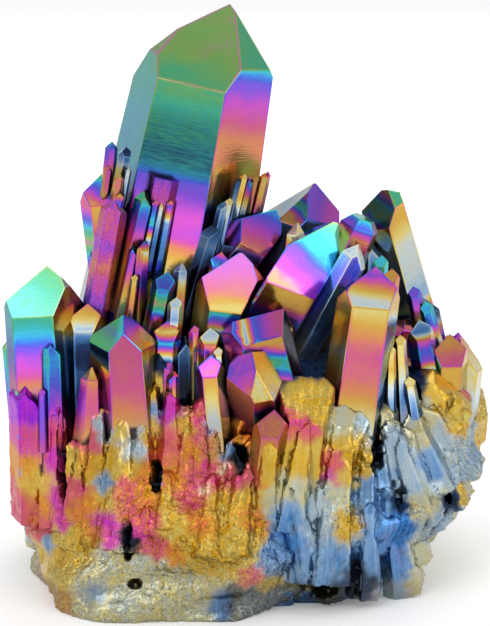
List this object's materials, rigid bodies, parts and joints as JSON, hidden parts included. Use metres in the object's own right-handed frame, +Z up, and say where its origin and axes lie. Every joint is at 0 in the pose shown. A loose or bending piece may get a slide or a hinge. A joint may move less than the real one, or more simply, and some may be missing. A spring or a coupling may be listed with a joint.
{
  "type": "aura quartz cluster",
  "caption": "Metal-coated quartz crystal cluster: one tall leaning point, faceted crystals and fused columns round it, on a rough rock matrix cut flat below.",
  "frame": {"origin": "middle of the cluster's box, on the flat face it rests on", "axes": "+Z up to the tip of the main point, +X to the right of the show side, +Y to the back; the show side looks to -Y"},
  "size_m": [0.0866, 0.0622, 0.0997],
  "materials": {
    "aura_quartz": "gloss"
  },
  "bodies": {
    "root": {"quartz_cluster": "aura_quartz"}
  },
  "joints": []
}
